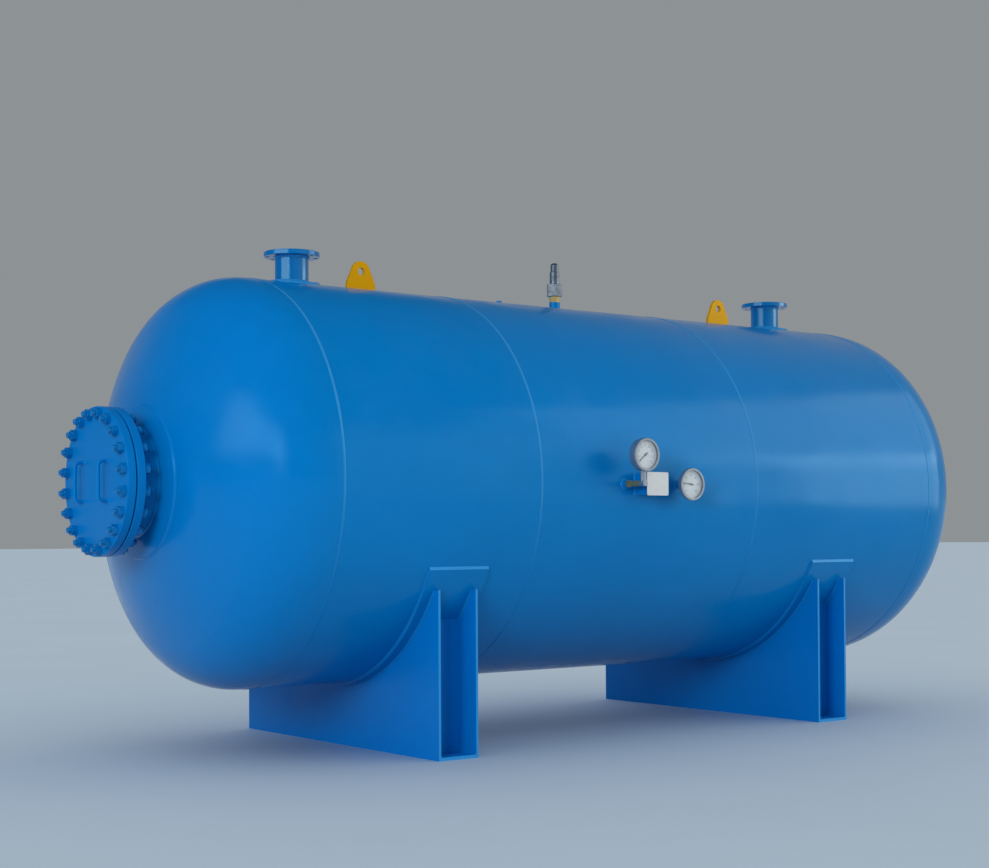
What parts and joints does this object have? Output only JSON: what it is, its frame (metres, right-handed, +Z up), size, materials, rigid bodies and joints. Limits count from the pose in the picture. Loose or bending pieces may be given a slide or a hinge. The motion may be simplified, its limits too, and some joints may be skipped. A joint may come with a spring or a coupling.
{
  "type": "horizontal pressure tank",
  "caption": "Horizontal welded pressure tank on saddles, with an end manway, flanged top nozzles, lifting lugs, a safety valve, and a gauge and thermometer on its side.",
  "frame": {"origin": "on the floor, at the centre of the pattern of four anchor holes, midway between the saddles", "axes": "+X along the tank away from the manway, +Z up; the gauges face -Y"},
  "size_m": [5.3353, 2.174, 2.575],
  "materials": {
    "tank_paint": "satin",
    "lug_paint": "satin",
    "brass": "satin",
    "steel": "satin",
    "dial_white": "matte",
    "pointer_black": "matte",
    "window_glass": "clear",
    "gasket": "matte",
    "nameplate": "satin"
  },
  "bodies": {
    "root": {"dial_pointers": "pointer_black", "dial_windows": "window_glass", "gauge_cock": "brass", "gauge_stem": "steel", "half_couplings": "tank_paint", "inlet_flange": "tank_paint", "inlet_neck": "tank_paint", "inlet_pad": "tank_paint", "manway_cover": "tank_paint", "manway_end_lifting_lug": "lug_paint", "manway_end_saddle_base_plate": "tank_paint", "manway_end_saddle_ribs": "tank_paint", "manway_end_saddle_wear_plate": "tank_paint", "manway_end_saddle_webs": "tank_paint", "manway_flange": "tank_paint", "manway_gasket": "gasket", "manway_handles": "tank_paint", "manway_head": "tank_paint", "manway_neck": "tank_paint", "manway_pad": "tank_paint", "nameplate": "nameplate", "nameplate_bracket": "tank_paint", "outlet_flange": "tank_paint", "outlet_neck": "tank_paint", "outlet_pad": "tank_paint", "pressure_gauge_bezel": "steel", "pressure_gauge_case": "steel", "pressure_gauge_dial": "dial_white", "rear_end_lifting_lug": "lug_paint", "rear_end_saddle_base_plate": "tank_paint", "rear_end_saddle_ribs": "tank_paint", "rear_end_saddle_wear_plate": "tank_paint", "rear_end_saddle_webs": "tank_paint", "rear_head": "tank_paint", "safety_valve_body": "steel", "safety_valve_bonnet": "steel", "safety_valve_inlet": "brass", "shell_course_manway_end": "tank_paint", "shell_course_middle": "tank_paint", "shell_course_rear_end": "tank_paint", "thermometer_bezel": "steel", "thermometer_case": "steel", "thermometer_dial": "dial_white", "thermometer_stem": "steel", "vent_plug": "tank_paint"}
  },
  "joints": []
}
